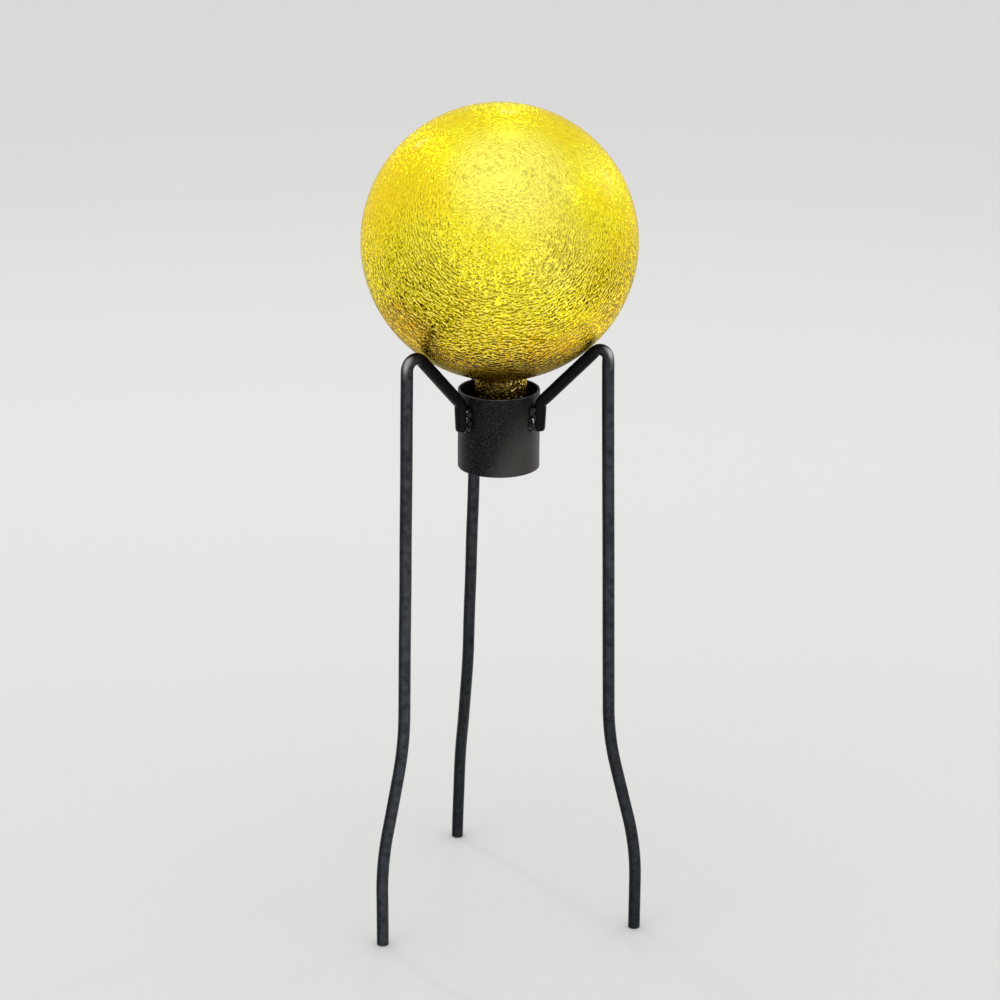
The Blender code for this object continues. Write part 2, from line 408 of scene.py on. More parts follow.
def rod_coat_with_painted_light(name):
    """The same coat, painted lighter on the legs where they face the front, as painted light; painted
    darker on the arms under the globe, as painted shade; and painted pale grey along the outer side of
    the shoulder bends, as painted highlights."""
    made = powder_coat(name, rod_roughness, coat_bump_depth, rod_painted_shade)
    material, tree, shader, place, colour = made
    painted_light = {
        light_name: add_node(tree, "Attribute", {}, attribute_name=light_name).outputs["Fac"]
        for light_name in ("lit_front", "arm_shade", "bend_highlight")
    }
    lit_front_cloud = ranged(tree, cloud(tree, place, lit_front_size, 3.0), *lit_front_range, lit_front_least, lit_front_most)
    colour = blended(tree, sum_of(tree, "MULTIPLY", painted_light["lit_front"], lit_front_cloud), colour, lit_front_colour)
    colour = blended(tree, painted_light["arm_shade"], colour, arm_shade_colour)
    bend_highlight_cloud = ranged(tree, cloud(tree, place, bend_highlight_size, 3.0), *bend_highlight_range, bend_highlight_least, 1.0)
    colour = blended(tree, sum_of(tree, "MULTIPLY", painted_light["bend_highlight"], bend_highlight_cloud), colour, bend_highlight_colour)
    tree.links.new(colour, shader.inputs["Base Color"])
    shader.inputs["Specular IOR Level"].default_value = rod_shine
    return material


black_coat = rod_coat_with_painted_light("black_powder_coat")


def rod_aside(leg, height):
    """How far a rod is to the side of its arm's direction: where its end is welded, less its height
    above that end times the tangent of its lean. The last bit above the ground is upright."""
    at_weld = rod_end_radius * math.sin(weld_directions[leg] - arm_directions[leg])
    above = np.maximum(height, foot_upright) - rod_end_height
    return at_weld - above * math.tan(side_leans[leg])


def rod_corners(leg):
    """The corners of a rod's centre line, out along its arm's direction and up. The arm rises at
    the slope that brings its upper side to the globe, and turns down beside where it touches."""
    end_out = rod_end_radius * math.cos(weld_directions[leg] - arm_directions[leg])
    arm_out = end_out + weld_end_length * math.sin(weld_end_lean)
    globe_above = globe_middle.z - arm_foot_height
    aside = rod_aside(leg, arm_foot_height + globe_above / 2)
    reach = math.sqrt((globe_radius + rod_touch_gap + rod_radius) ** 2 - aside**2)
    to_globe = math.hypot(globe_above, arm_out)
    slope = math.atan2(arm_out, globe_above) + math.acos(reach / to_globe)
    shoulder_turn = math.pi / 2 + slope - leg_lean
    arm_length = math.sqrt(to_globe**2 - reach**2) + arms_past_globe[leg]
    arm_length += shoulder_bend_radii[leg] * math.tan(shoulder_turn / 2)
    shoulder_out = arm_out + arm_length * math.cos(slope)
    shoulder_height = arm_foot_height + arm_length * math.sin(slope)
    knee_out = shoulder_out + (shoulder_height - knee_upper_height) * math.tan(leg_lean)
    return [
        (end_out, rod_end_height),
        (arm_out, arm_foot_height),
        (shoulder_out, shoulder_height),
        (knee_out, knee_upper_height),
        (knee_out + knee_step_out, knee_lower_height),
        (knee_out + knee_step_out, 0.0),
    ]


def rounded_line(corners, radii, gap, arc_step):
    """A line through the corners, each inner one cut by an arc that touches both sides. Gives the
    points and, for each, how tightly the line turns there as 1 / radius."""
    corners = [np.array(corner) for corner in corners]
    starts, pieces, turns = corners[0], [corners[0][None]], [np.zeros(1)]
    for before, corner, after, radius in zip(corners, corners[1:], corners[2:], radii):
        back = (before - corner) / np.linalg.norm(before - corner)
        ahead = (after - corner) / np.linalg.norm(after - corner)
        half = math.acos(float(back @ ahead)) / 2
        centre = corner + (back + ahead) / np.linalg.norm(back + ahead) * radius / math.sin(half)
        first = corner + back * radius / math.tan(half)
        last = corner + ahead * radius / math.tan(half)
        start = math.atan2(*(first - centre)[::-1])
        turn = (math.atan2(*(last - centre)[::-1]) - start + math.pi) % (2 * math.pi) - math.pi
        straight = line(starts, first, gap)
        curved = arc(centre, radius, start, start + turn, math.ceil(abs(turn) / arc_step(radius)))
        pieces += [straight, curved]
        turns += [np.zeros(len(straight)), np.full(len(curved), 1 / radius)]
        starts = last
    straight = line(starts, corners[-1], gap)
    pieces += [straight, corners[-1][None]]
    turns += [np.zeros(len(straight) + 1)]
    return np.vstack(pieces), np.concatenate(turns)


def rod_arc_step(radius):
    """The turn between two rings of an arc: about the ring gap, but never over 8 degrees."""
    return min(rod_ring_gap / radius, math.radians(8.0))


def rod_rings(leg, seed):
    """A round bar carried along its line: each ring is the centre plus the bar's radius times the cosine
    of the turn along the in-plane normal and times its sine sideways. In a tight bend the bar is
    flattened in the plane and widened across it, and both ends are rounded off. Gives the rings, the two
    ends' middles and, for each point, how much painted shade, painted highlight and painted light its
    coat gets."""
    corners = rod_corners(leg)
    bends_at = weld_end_length + math.dist(corners[1], corners[2])
    radii = [weld_end_bend_radius, shoulder_bend_radii[leg], knee_bend_radius, knee_bend_radius]
    centres, tightness = rounded_line(corners, radii, rod_ring_gap, rod_arc_step)
    gaps = np.linalg.norm(np.diff(centres, axis=0), axis=1)
    travelled = np.concatenate([[0.0], np.cumsum(gaps)])
    ahead = np.gradient(centres, travelled, axis=0)
    ahead /= np.linalg.norm(ahead, axis=1, keepdims=True)
    squeeze = np.convolve(tightness * weld_end_bend_radius, np.ones(3) / 3, mode="same")
    tall = rod_radius * (1 - bend_flattening * squeeze)
    wide = rod_radius * (1 + bend_widening * squeeze)

    start = arc((0.0, 0.0), 1.0, math.pi, math.pi / 2, rod_end_steps)[1:-1]
    share_in = 1 - weld_end_round / rod_radius * (1 - start[:, 1])
    start_at = weld_end_round * (1 + start[:, 0])
    end = arc((0.0, 0.0), 1.0, math.pi / 2, 0.0, rod_end_steps)[1:-1]
    share_out = 1 - foot_end_round / rod_radius * (1 - end[:, 1])
    end_at = travelled[-1] - foot_end_round * (1 - end[:, 0])

    inside = (travelled > weld_end_round) & (travelled < travelled[-1] - foot_end_round)
    at = np.concatenate([start_at, travelled[inside], end_at])
    size = np.concatenate([share_in, np.ones(inside.sum()), share_out])
    out, height = (np.interp(at, travelled, centres[:, axis]) for axis in (0, 1))
    ahead_out, ahead_up = (np.interp(at, travelled, ahead[:, axis]) for axis in (0, 1))
    tall, wide = (np.interp(at, travelled, values) * size for values in (tall, wide))

    fade = np.minimum(1.0, np.minimum(at, travelled[-1] - at) / rod_unevenness_fade)
    clear = np.clip((at - bends_at) / rod_unevenness_fade, 0.0, 1.0)
    along = np.stack([at, 0 * at, 0 * at], axis=-1)
    in_plane = swell(along, rod_unevenness, rod_swell_lengths, seed) * fade * clear
    sideways = swell(along, rod_unevenness, rod_sway_lengths, seed + 10) * fade * clear

    turn = np.linspace(0.0, 2 * np.pi, rod_columns, endpoint=False)
    across = in_plane[:, None] + tall[:, None] * np.cos(turn)
    aside = (rod_aside(leg, height) + sideways)[:, None] + wide[:, None] * np.sin(turn)
    ring_out = out[:, None] + ahead_up[:, None] * across
    ring_up = height[:, None] - ahead_out[:, None] * across
    tip_out, tip_up = np.array([corners[0], corners[-1]]).T
    direction = arm_directions[leg]
    tips = about_stand(tip_out, rod_aside(leg, tip_up), tip_up, direction)

    points = about_stand(ring_out, aside, ring_up, direction)
    facing = points - points.mean(axis=1, keepdims=True)
    facing /= np.linalg.norm(facing, axis=-1, keepdims=True)
    shoulder = travelled[np.argmax(centres[:, 1])]
    arm_shade = np.interp(at - shoulder, (-arm_shade_before, arm_shade_before), (1.0, 0.0))
    arm_shade = arm_shade[:, None] + 0.0 * turn
    near = np.interp(at - shoulder, (bend_highlight_start, bend_highlight_peak, bend_highlight_end), (0.0, 1.0, 0.0))
    outward_share, forward_share, up_share = bend_highlight_ways
    bend_highlight_way = np.array([math.cos(direction), math.sin(direction), 0.0]) * outward_share
    bend_highlight_way += (0.0, forward_share, up_share)
    bend_highlight_way /= np.linalg.norm(bend_highlight_way)
    bend_highlight = near[:, None] * np.interp(facing @ bend_highlight_way, bend_highlight_facing, (0.0, 1.0))
    lit_front = np.interp(facing @ np.array(lit_front_way), lit_front_facing, (0.0, 1.0))
    lit_front *= np.interp(height, lit_front_heights, lit_front_shares[leg])[:, None]
    return points, tips, {"arm_shade": arm_shade, "bend_highlight": bend_highlight, "lit_front": lit_front}


def about_stand(out, aside, up, direction):
    """Points from a leg's own frame, out from the stand's axis, aside and up, into the model."""
    return np.stack(
        [
            stand_axis.x + out * math.cos(direction) - aside * math.sin(direction),
            stand_axis.y + out * math.sin(direction) + aside * math.cos(direction),
            up + 0.0 * out,
        ],
        axis=-1,
    )


for leg_number, leg_name in enumerate(arm_directions):
    rings, tips, painted_lights = rod_rings(leg_name, 20 + leg_number)
    leg = surface("leg_" + leg_name + "_coated", rings, tips)
    for light_name, values in painted_lights.items():
        ends = [values[0, 0], values[-1, 0]]
        attribute = leg.data.attributes.new(light_name, "FLOAT", "POINT")
        attribute.data.foreach_set("value", np.concatenate([values.ravel(), ends]))
    leg.data.materials.append(black_coat)
    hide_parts("leg_" + leg_name)
    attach(leg, "root")


# Welds: a hand-laid bead down each side of a rod's end, where it lies against the collar. The two
# meet under the rod's rounded end. They are lumpy, and the coat runs thick and shiny over them.
bead_radius = 0.0036
bead_top_below_foot = 0.0045
bead_low_above_end = 0.0030
bead_curl_below_end = 0.0010
bead_curl_reach = 0.0030
bead_rows = 96
bead_columns = 36
bead_puddles = 6
bead_puddle_depth = 0.16
bead_lump_depth = 0.42
bead_lump_lengths = (0.0058, 0.0037, 0.0026)
bead_wander = 0.0008
bead_wander_turns = (2.3, 3.1)
bead_puddle_shift = 0.25
bead_puddle_shift_turns = 1.7
bead_off_collar = 0.50
bead_sunk_in_corner = 0.30
bead_curl_from = 0.72
bead_down_until = 0.78
bead_end_taper = 0.22

weld_roughness = 0.15
weld_shine = 0.25
# Painted shade: the welds' copy of the coat is scaled darker.
weld_painted_shade = 0.4
weld_bump_depth = 0.00004
# Painted glints: pinhead-sized bright bits on the welds.
glint_size = 0.0040
glint_reach = (0.32, 0.20)
glint_chance = (0.40, 0.45)
glint_colour = (0.90, 0.92, 0.93, 1.0)


def glinting_weld_coat(name):
    """The same coat, shinier, with painted glints the size of a pinhead: rather more than half of the
    cells that the surface is cut into have one at their middle."""
    made = powder_coat(name, weld_roughness, weld_bump_depth, weld_painted_shade)
    material, tree, shader, place, colour = made
    glint_cells = add_node(tree, "TexVoronoi", {"Vector": place, "Scale": 1 / glint_size})
    chance = add_node(tree, "SeparateColor", {0: glint_cells.outputs["Color"]}).outputs["Red"]
    glinting = sum_of(
        tree,
        "MULTIPLY",
        ranged(tree, glint_cells.outputs["Distance"], *glint_reach),
        ranged(tree, chance, *glint_chance),
    )
    tree.links.new(blended(tree, glinting, colour, glint_colour), shader.inputs["Base Color"])
    shader.inputs["Specular IOR Level"].default_value = weld_shine
    return material


shiny_coat = glinting_weld_coat("black_coated_weld")


def bead_rings(leg, side, seed):
    """A round bead carried down its line. The radius swells with each puddle of metal, sags
    between them and has soft lumps, and it closes as a half ellipse at both ends."""
    chance = np.random.default_rng(seed)
    share = np.linspace(0.0, 1.0, bead_rows + 2)[1:-1]
    curl = np.interp(share, (bead_curl_from, 1.0), (0.0, 1.0))
    curl = curl * curl * (3 - 2 * curl)
    top = arm_foot_height - bead_top_below_foot
    low = rod_end_height + bead_low_above_end
    up = np.interp(share, (0.0, bead_down_until), (top, low))
    up -= curl * (bead_low_above_end + bead_curl_below_end)
    corner_aside = rod_radius - bead_radius * bead_sunk_in_corner
    aside = corner_aside + (bead_curl_reach - corner_aside) * curl
    direction = weld_directions[leg]
    arm_turn = arm_directions[leg] - direction
    rod_out = rod_corners(leg)[0][0] + (up - rod_end_height) * math.tan(weld_end_lean)
    aside += side * (rod_out * math.sin(arm_turn) + rod_aside(leg, up) * math.cos(arm_turn))
    rod_out = rod_out * math.cos(arm_turn) - rod_aside(leg, up) * math.sin(arm_turn)
    out = collar_outer_radius + bead_radius * bead_off_collar + (rod_out - rod_end_radius) / 2
    phase = chance.uniform(0.0, 2 * math.pi, 4)
    aside += bead_wander * np.sin(2 * math.pi * bead_wander_turns[0] * share + phase[0])
    out += 0.5 * bead_wander * np.sin(2 * math.pi * bead_wander_turns[1] * share + phase[1])

    shift = np.sin(2 * math.pi * bead_puddle_shift_turns * share + phase[2])
    puddle = share * bead_puddles + bead_puddle_shift * shift
    within = puddle - np.floor(puddle)
    radius = bead_radius * (1 - bead_puddle_depth * (2 * within - 1) ** 2)
    radius = radius * (4 * share * (1 - share)) ** bead_end_taper

    centre = about_stand(out, side * aside, up, direction)
    ahead = np.gradient(centre, axis=0)
    ahead /= np.linalg.norm(ahead, axis=1, keepdims=True)
    outward = np.array([math.cos(direction), math.sin(direction), 0.0])
    normal = outward - ahead * (ahead @ outward)[:, None]
    normal /= np.linalg.norm(normal, axis=1, keepdims=True)
    across = np.cross(ahead, normal)
    turn = np.linspace(0.0, 2 * np.pi, bead_columns, endpoint=False)[:, None]
    round_bar = normal[:, None] * np.cos(turn) + across[:, None] * np.sin(turn)
    rings = centre[:, None] + radius[:, None, None] * round_bar
    lumps = swell(rings, bead_lump_depth, bead_lump_lengths, seed + 1)
    rings = centre[:, None] + (radius[:, None] * (1 + lumps))[..., None] * round_bar
    return rings, centre[[0, -1]]


for leg_number, leg_name in enumerate(weld_directions):
    for letter, side in (("a", 1.0), ("b", -1.0)):
        bead_seed = 40 + 4 * leg_number + (2 if letter == "b" else 0)
        rings, tips = bead_rings(leg_name, side, bead_seed)
        bead_name = "weld_" + leg_name + "_" + letter
        bead = surface(bead_name + "_lumpy", rings, tips)
        bead.data.materials.append(shiny_coat)
        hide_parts(bead_name)
        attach(bead, "root")


# Globe: blown glass with a neck, quenched while hot so that it crazed all over, then silvered
# inside with a yellow mirror coat. It lies loose on the three arms, slightly askew, so that its
# neck hangs a little to the right in the collar.
glass_wall = 0.0030
neck_radius = 0.0243
neck_fillet = 0.0040
neck_shift = 0.0018
neck_shift_reach = 0.010
neck_end_height = globe_low.z
neck_end_round = 0.0010
globe_columns = 270
globe_ring_gap = 0.00150
globe_inner_gap = 0.0140
fillet_gap = 0.0005
fillet_inner_gap = 0.0008
neck_ring_gap = 0.0022
neck_bore_gap = 0.0040
neck_end_steps = 5
relief_fade = 0.004
pebble_width = 0.0056
pebble_height = 0.0042
pebble_depth = 0.000110

craze_width = 0.0038
craze_height = 0.0032
craze_wander = 0.0012
craze_wander_size = 0.0075
globe_front = way_of(-9.0, 19.0)
ripple_length = 0.0026
ripple_contrast = 0.90
ripple_depth = 0.00255
ripple_depth_above = 0.7 * ripple_depth
ripple_depth_levels = (0.10, 0.75)
ripple_widening = 0.08
ring_length = 0.0032
ring_group = 0.0038
ring_alignment = 0.90
ring_share = 0.76
ring_takes = 0.50
rings_from_side = (0.12, 0.45)
rings_from_front = (0.985, 0.88)

lemon = (0.95, 0.82, 0.030, 1.0)
deep_lemon = (0.88, 0.75, 0.022, 1.0)
deep_lemon_chance = (0.35, 1.0)
orange = (0.92, 0.68, 0.010, 1.0)
orange_cloud_size = 0.045
orange_range = (0.50, 0.70)
orange_share = 0.55
highlight_lemon = (0.96, 0.87, 0.140, 1.0)
shade_amber = (0.48, 0.26, 0.005, 1.0)
# Each place of painted light has the way to its middle, where along it the tint starts, its share and
# tint: the pale lemon ones are painted highlights, the deep amber ones painted shade, and the orange one
# an orange tint.
painted_light_full_at = 0.99
painted_light_places = (
    (way_of(0.0, 43.0), 0.84, 0.75, highlight_lemon),
    (way_of(-76.0, 33.0), 0.82, 0.70, orange),
    (way_of(-58.0, -32.0), 0.93, 0.95, shade_amber),
    (way_of(48.0, -12.0), 0.89, 0.32, shade_amber),
    (way_of(22.0, -46.0), 0.945, 0.85, shade_amber),
    (way_of(17.0, 9.0), 0.94, 0.32, highlight_lemon),
    (way_of(58.0, 38.0), 0.95, 0.50, highlight_lemon),
)
# Amber lower down: partly the coat's deeper tone and partly painted shade.
amber = (0.72, 0.42, 0.010, 1.0)
amber_levels = (-0.15, -0.80)
amber_range = (0.30, 0.60)
amber_least = 0.50
# Painted shade: brown towards the bottom of the globe and at the neck.
shade_brown = (0.09, 0.040, 0.002, 1.0)
shade_brown_levels = (-0.56, -0.86)

# Painted glints: the ripples' crests are painted pale gold.
glint_gold = (1.0, 0.87, 0.240, 1.0)
glint_range = (0.54, 0.63)
glint_share = 0.85
craze_line = (0.050, 0.027, 0.002, 1.0)
craze_line_range = (0.50, 0.41)
# The troughs' brown lines are the crazing's cracks; they and the painted glints grow stronger lower down
# as painted shade.
painted_contrast_levels = (0.45, -0.32)
painted_contrast_least = 0.08
# Each lit place has the way to its middle, its reach along that way, and what is left there of the
# painted lines and glints, as painted light.
lit_places = (
    (way_of(-9.0, -6.0), (0.80, 0.99), 0.66),
    (way_of(30.0, -28.0), (0.955, 0.995), 0.45),
)
neck_shade_brown = (0.085, 0.050, 0.003, 1.0)
neck_levels = (-0.97, -1.0)
# Painted glints: gold bits on the neck, more of them on the right.
neck_glint = (1.0, 0.78, 0.22, 1.0)
neck_glint_range = (0.58, 0.63)
neck_glint_least = 0.10
neck_glint_way = (0.90, -0.43, 0.0)
neck_glint_reach = (0.45 * neck_radius, 0.75 * neck_radius)
cell_roughness = (0.09, 0.18)


def wall_arc(centre, radius, start, end, gap):
    """Points on a circle at about the gap."""
    return arc(centre, radius, start, end, max(2, round(abs(end - start) * radius / gap)))


def globe_outline():
    """The glass wall's section: from the inner crown down the inside, round the neck's end and up
    the outside to the outer crown. The two fillets share one centre, so the wall stays even."""
    fillet_out = neck_radius + neck_fillet
    fillet_down = -math.sqrt((globe_radius + neck_fillet) ** 2 - fillet_out**2)
    fillet = (fillet_out, fillet_down)
    meeting = math.atan2(fillet_down, fillet_out)
    end = neck_end_height - globe_middle.z
    edge = neck_end_round
    bore = neck_radius - glass_wall
    crown = math.pi / 2
    inside = globe_radius - glass_wall
    section = [
        wall_arc((0.0, 0.0), inside, crown, meeting, globe_inner_gap),
        wall_arc(fillet, neck_fillet + glass_wall, meeting + math.pi, math.pi, fillet_inner_gap)[1:],
        line((bore, fillet_down), (bore, end + edge), neck_bore_gap),
        arc((bore + edge, end + edge), edge, math.pi, 1.5 * math.pi, neck_end_steps),
        arc((neck_radius - edge, end + edge), edge, -crown, 0.0, neck_end_steps),
        line((neck_radius, end + edge), (neck_radius, fillet_down), neck_ring_gap),
        wall_arc(fillet, neck_fillet, math.pi, meeting + math.pi, fillet_gap),
        wall_arc((0.0, 0.0), globe_radius, meeting, crown, globe_ring_gap)[1:],
    ]
    return np.vstack(section)


def cell_chance(cell, seed):
    """A number from 0 to 1 for each cell of a lattice, from its three whole coordinates."""
    mixed = np.sin(cell @ np.array([12.9898, 78.233, 37.719]) + seed * 4.1414) * 43758.5453
    return mixed - np.floor(mixed)


def pebbles(points):
    """A pebbled surface: each lattice cell holds one point at a random place, and the height falls
    from 1 at the nearest of them with the squared distance, measured in cell sizes."""
    scaled = points / np.array([pebble_width, pebble_width, pebble_height])
    base = np.floor(scaled)
    nearest = np.full(points.shape[:-1], 9.0)
    steps = (-1.0, 0.0, 1.0)
    for step in [np.array([x, y, z]) for x in steps for y in steps for z in steps]:
        cell = base + step
        place = cell + np.stack([cell_chance(cell, seed) for seed in (1, 2, 3)], axis=-1)
        nearest = np.minimum(nearest, ((scaled - place) ** 2).sum(axis=-1))
    return 1 - np.minimum(nearest, 1.0)


outline = globe_outline() + np.array([0.0, globe_middle.z])
along = np.gradient(outline, axis=0)
along /= np.linalg.norm(along, axis=1, keepdims=True)
outward = np.stack([along[:, 1], -along[:, 0]], axis=-1)
outside = np.arange(len(outline)) > np.argmin(outline[:, 1])
relief_share = outside * np.clip((outline[:, 1] - neck_end_height) / relief_fade, 0.0, 1.0)
relief_share *= np.clip(outline[:, 0] / relief_fade, 0.0, 1.0)

globe_rings = turned_rings(outline[1:-1], globe_columns, stand_axis)
globe_outward = turned_rings(outward[1:-1], globe_columns, Vector((0.0, 0.0, 0.0)))
raised = (pebbles(globe_rings - np.array(globe_middle)) - 0.5) * pebble_depth
raised *= relief_share[1:-1, None]
globe_tips = [(stand_axis.x, stand_axis.y, outline[0, 1]), (stand_axis.x, stand_axis.y, outline[-1, 1])]
globe_rings += globe_outward * raised[..., None]
neck_top = globe_middle.z - math.sqrt(globe_radius**2 - neck_radius**2)
drawn = np.clip((neck_top + neck_shift_reach / 2 - globe_rings[..., 2]) / neck_shift_reach, 0.0, 1.0)
drawn = drawn * drawn * (3 - 2 * drawn)
globe_rings += (drawn * neck_shift)[..., None] * np.array(camera_right)
globe = surface("crackle_globe", globe_rings, globe_tips)


def over_globe(tree, value, low, high, to_low=0.0, to_high=1.0):
    """A value eased from one range to another, the first given as shares of the globe's radius."""
    return ranged(tree, value, low * globe_radius, high * globe_radius, to_low, to_high)


def craze_cells(tree, centred):
    """The cells of the crazing: space is cut into cells round random points, once every place has
    been moved a little by a soft noise, so that the cells' sides bend."""
    soft = {"Vector": centred, "Scale": 1 / craze_wander_size, "Detail": 2.0}
    wander = add_node(tree, "TexNoise", soft).outputs["Color"]
    half = (0.5, 0.5, 0.5)
    shift = add_node(tree, "VectorMath", {0: wander, 1: half}, operation="SUBTRACT").outputs[0]
    shift = add_node(tree, "VectorMath", {0: shift, "Scale": craze_wander}, operation="SCALE").outputs[0]
    bent = add_node(tree, "VectorMath", {0: centred, 1: shift}, operation="ADD").outputs[0]
    sizes = (1 / craze_width, 1 / craze_width, 1 / craze_height)
    scaled = add_node(tree, "VectorMath", {0: bent, 1: sizes}, operation="MULTIPLY").outputs[0]
    return add_node(tree, "TexVoronoi", {"Vector": scaled, "Scale": 1.0})


def crackle_ripples(tree, centred, level):
    """The crackle's relief, from 0 to 1: an even noise of fine ripples, and waves that stand in
    rings about the globe's front and break up into short dashes. The rings take part of the even
    noise's place, more and more from the sides inwards, and leave off again at the very front.
    Towards the bottom all of it grows a little wider."""
    below = sum_of(tree, "MAXIMUM", sum_of(tree, "MINIMUM", level, 0.0), -globe_radius)
    shrink = sum_of(tree, "MULTIPLY_ADD", below, ripple_widening / globe_radius, 1.0)
    widened = add_node(tree, "VectorMath", {0: centred, "Scale": shrink}, operation="SCALE").outputs[0]
    even = cloud(tree, widened, ripple_length, 1.0)
    even = sum_of(tree, "MULTIPLY_ADD", even, ripple_contrast, (1 - ripple_contrast) / 2)
    front = tuple(globe_radius * globe_front)
    from_front = add_node(tree, "VectorMath", {0: centred, 1: front}, operation="SUBTRACT").outputs[0]
    from_front = add_node(tree, "VectorMath", {0: from_front}, operation="NORMALIZE").outputs[0]
    waves = {"Vector": widened, "Scale": 1 / ring_group, "Frequency": ring_group / ring_length}
    waves.update({"Anisotropy": ring_alignment, "Orientation": from_front})
    rings = add_node(tree, "TexGabor", waves, gabor_type="3D").outputs["Value"]
    facing = how_far(tree, centred, globe_front)
    ringed = over_globe(tree, facing, *rings_from_side)
    ringed = sum_of(tree, "MULTIPLY", ringed, over_globe(tree, facing, *rings_from_front))
    rings = sum_of(tree, "MULTIPLY_ADD", rings, ring_share, (ring_takes - ring_share) / 2)
    rings = sum_of(tree, "MULTIPLY", ringed, rings)
    kept = sum_of(tree, "MULTIPLY_ADD", ringed, -ring_takes, 1.0)
    return sum_of(tree, "MULTIPLY_ADD", even, kept, rings)


def crackle_glass(name):
    """Yellow mirror coat under crazed glass. The ripples raise the surface, and on the same value their
    crests are painted gold as painted glints and their troughs are drawn as fine brown lines, the
    crazing's cracks; both grow stronger lower down as painted shade and weaker in two soft places as
    painted light. Each cell of the crazing has its own shade and gloss. The coat has soft places of
    painted highlight and painted shade and one orange tint, turns amber below, partly its deeper tone
    and partly painted shade, and brown lower down and at the neck as painted shade, and has gold painted
    glints on the neck. A thin film of clear glossy glass lies over all."""
    material, tree, shader = finish_of(name)
    place = add_node(tree, "TexCoord", {}).outputs["Object"]
    centred = add_node(tree, "Mapping", {"Vector": place, "Location": -globe_middle}).outputs[0]
    level = add_node(tree, "SeparateXYZ", {0: centred}).outputs["Z"]
    ripple = crackle_ripples(tree, centred, level)
    depth = over_globe(tree, level, *ripple_depth_levels, ripple_depth, ripple_depth_above)
    height = sum_of(tree, "MULTIPLY", ripple, depth)
    bump = add_node(tree, "Bump", {"Height": height, "Distance": 1.0, "Strength": 1.0})
    tree.links.new(bump.outputs["Normal"], shader.inputs["Normal"])

    cell = craze_cells(tree, centred).outputs["Color"]
    chance = add_node(tree, "SeparateColor", {0: cell}).outputs["Red"]
    patch = cloud(tree, centred, orange_cloud_size, 2.0)
    colour = blended(tree, ranged(tree, chance, *deep_lemon_chance), lemon, deep_lemon)
    colour = blended(tree, ranged(tree, patch, *orange_range, 0.0, orange_share), colour, orange)
    for way, reach, share, tint in painted_light_places:
        painted_light_share = over_globe(tree, how_far(tree, centred, way), reach, painted_light_full_at, 0.0, share)
        colour = blended(tree, painted_light_share, colour, tint)
    ambered = over_globe(tree, level, *amber_levels)
    ambered = sum_of(tree, "MULTIPLY", ambered, ranged(tree, patch, *amber_range, amber_least, 1.0))
    colour = blended(tree, ambered, colour, amber)
    painted_contrast = over_globe(tree, level, *painted_contrast_levels, painted_contrast_least, 1.0)
    for way, reach, share in lit_places:
        lit_share = over_globe(tree, how_far(tree, centred, way), *reach, 1.0, share)
        painted_contrast = sum_of(tree, "MULTIPLY", painted_contrast, lit_share)
    glinted = sum_of(tree, "MULTIPLY", ranged(tree, ripple, *glint_range, 0.0, glint_share), painted_contrast)
    colour = blended(tree, glinted, colour, glint_gold)
    colour = blended(tree, over_globe(tree, level, *shade_brown_levels), colour, shade_brown)
    on_neck = over_globe(tree, level, *neck_levels)
    colour = blended(tree, on_neck, colour, neck_shade_brown)
    lined = sum_of(tree, "MULTIPLY", ranged(tree, ripple, *craze_line_range), painted_contrast)
    colour = blended(tree, lined, colour, craze_line)
    to_right = how_far(tree, centred, neck_glint_way)
    flecks_and_glints = ranged(tree, to_right, *neck_glint_reach, neck_glint_least, 1.0)
    flecks_and_glints = sum_of(tree, "MULTIPLY", flecks_and_glints, ranged(tree, ripple, *neck_glint_range))
    colour = blended(tree, sum_of(tree, "MULTIPLY", flecks_and_glints, on_neck), colour, neck_glint)
    tree.links.new(colour, shader.inputs["Base Color"])
    tree.links.new(ranged(tree, chance, 0.0, 1.0, *cell_roughness), shader.inputs["Roughness"])
    shader.inputs["Metallic"].default_value = 0.90
    shader.inputs["Specular Tint"].default_value = (1.0, 0.82, 0.10, 1.0)
    shader.inputs["Coat Weight"].default_value = 0.075
    shader.inputs["Coat Roughness"].default_value = 0.12
    shader.inputs["Coat IOR"].default_value = 1.5
    return material


globe.data.materials.append(crackle_glass("yellow_crackle_glass"))
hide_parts("glass_globe")
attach(globe, "root")


# Floor and light: a plain pale floor under a pale dome with soft darker rings about its front and
# soft lighter and darker patches, a large soft lamp above, and three small soft lamps behind that
# streak on the glass.
floor_half = 14.0
floor_colour = (0.70, 0.70, 0.69, 1.0)
floor_grain_size = 1 / 260.0
dome_levels = ((-1.0, 1.02), (-0.50, 1.00), (0.0, 0.80), (0.30, 0.86), (1.0, 1.02))
dome_least = 0.01
band_period = math.radians(90.0)
band_first = math.radians(92.0)
band_levels = (0.45, -0.20)
band_depths = (0.06, 0.78)
# Each patch has its azimuth and elevation, the cosines from which to which it grows, and its change.
dome_patches = (
    (-9.0, 62.0, (0.55, 1.0), 0.12),
    (-72.0, 8.0, (0.80, 0.98), 0.22),
    (54.0, 10.0, (0.82, 0.98), 0.16),
    (-5.0, -85.0, (0.90, 0.99), 0.36),
    (-62.0, -30.0, (0.86, 0.99), -0.56),
    (-124.0, -13.0, (0.88, 0.99), -0.25),
    (90.0, -32.0, (0.88, 0.99), -0.22),
    (100.0, -50.0, (0.955, 0.998), 1.4),
    (145.0, -60.0, (0.93, 0.99), -0.50),
    (42.0, -3.0, (0.90, 0.99), 0.14),
    (-8.0, -31.0, (0.80, 0.98), 0.12),
    (-149.0, -44.0, (0.80, 0.98), -0.25),
    (-9.0, 19.0, (0.60, 1.0), -0.21),
)

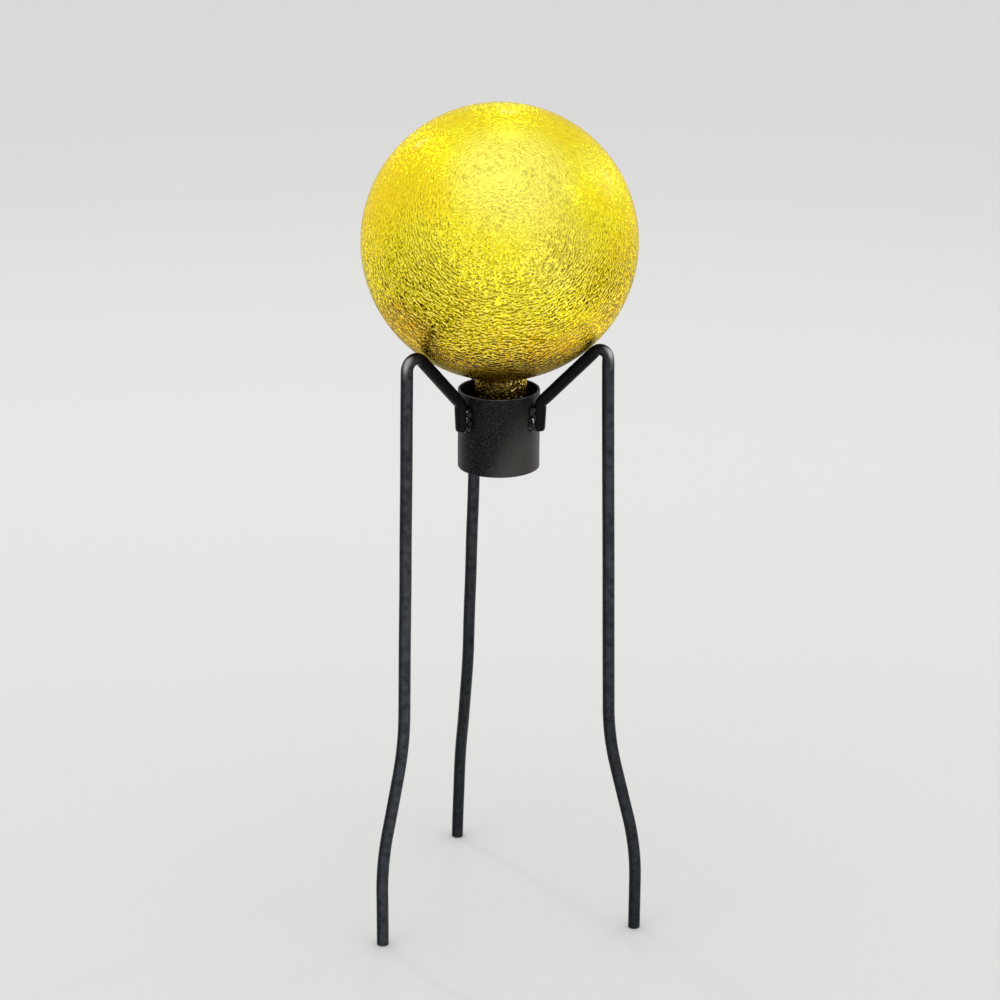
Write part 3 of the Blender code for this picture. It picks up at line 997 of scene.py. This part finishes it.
floor_mesh = bpy.data.meshes.new("floor")
corners = floor_half * np.array([(-1, -1, 0), (1, -1, 0), (1, 1, 0), (-1, 1, 0)])
floor_mesh.from_pydata(corners.tolist(), [], [(0, 1, 2, 3)])
floor = bpy.data.objects.new("floor", floor_mesh)
bpy.context.scene.collection.objects.link(floor)
floor.visible_glossy = False
floor_finish, floor_tree, floor_shader = finish_of("pale_floor")
floor_place = add_node(floor_tree, "TexCoord", {}).outputs["Object"]
floor_grain = ranged(floor_tree, cloud(floor_tree, floor_place, floor_grain_size, 3.0), 0.3, 0.7)
floor_tint = blended(floor_tree, floor_grain, floor_colour, shaded(floor_colour, 0.98))
floor_tree.links.new(floor_tint, floor_shader.inputs["Base Color"])
floor_shader.inputs["Roughness"].default_value = 0.9
floor_mesh.materials.append(floor_finish)

world = bpy.data.worlds.new("studio")
world.use_nodes = True
bpy.context.scene.world = world
sky = world.node_tree
sky_way = add_node(sky, "TexCoord", {}).outputs["Generated"]
sky_level = add_node(sky, "SeparateXYZ", {0: sky_way}).outputs["Z"]
ramp = add_node(sky, "ValToRGB", {0: sum_of(sky, "MULTIPLY_ADD", sky_level, 0.5, 0.5)})
for number, (level, bright) in enumerate(dome_levels):
    at = 0.5 + 0.5 * level
    stops = ramp.color_ramp.elements
    stop = stops[number] if number < 2 else stops.new(at)
    stop.position = at
    stop.color = (bright, bright, bright, 1.0)

band_turn = sum_of(sky, "ARCCOSINE", how_far(sky, sky_way, globe_front))
band_turn = sum_of(sky, "SUBTRACT", band_turn, band_first)
band = sum_of(sky, "COSINE", sum_of(sky, "MULTIPLY", band_turn, 2 * math.pi / band_period))
band_depth = ranged(sky, sky_level, *band_levels, *band_depths)
light = sum_of(sky, "SUBTRACT", 1.0, sum_of(sky, "MULTIPLY", band, band_depth))
light = sum_of(sky, "MULTIPLY", light, ramp.outputs["Color"])
for azimuth, elevation, spread, strength in dome_patches:
    towards = how_far(sky, sky_way, way_of(azimuth, elevation))
    light = sum_of(sky, "ADD", light, ranged(sky, towards, *spread, 0.0, strength))
light = sum_of(sky, "MAXIMUM", light, dome_least)
backdrop = sky.nodes["Background"]
sky.links.new(light, backdrop.inputs["Color"])
backdrop.inputs["Strength"].default_value = 1.0


def soft_lamp(name, azimuth, elevation, distance, size, power):
    """A soft lamp, so wide and so high, that looks at the globe from an azimuth and an elevation."""
    back = way_of(azimuth, elevation)
    lamp_data = bpy.data.lights.new(name, "AREA")
    lamp_data.energy = power
    lamp_data.shape = "RECTANGLE"
    lamp_data.size, lamp_data.size_y = size
    lamp = bpy.data.objects.new(name, lamp_data)
    bpy.context.scene.collection.objects.link(lamp)
    lamp.location = globe_middle + back * distance
    lamp.rotation_euler = (-back).to_track_quat("-Z", "Y").to_euler()
    lamp.visible_camera = False
    return lamp


soft_lamp("lamp_above", -20.0, 66.0, 3.0, (2.2, 2.2), 5.0)
soft_lamp("lamp_back", 168.0, 33.0, 2.6, (0.24, 0.16), 3.4)
soft_lamp("lamp_back_left", -153.0, 29.0, 2.6, (0.14, 0.30), 5.0)
soft_lamp("lamp_back_right", 123.0, 17.0, 2.6, (0.12, 0.36), 3.0)
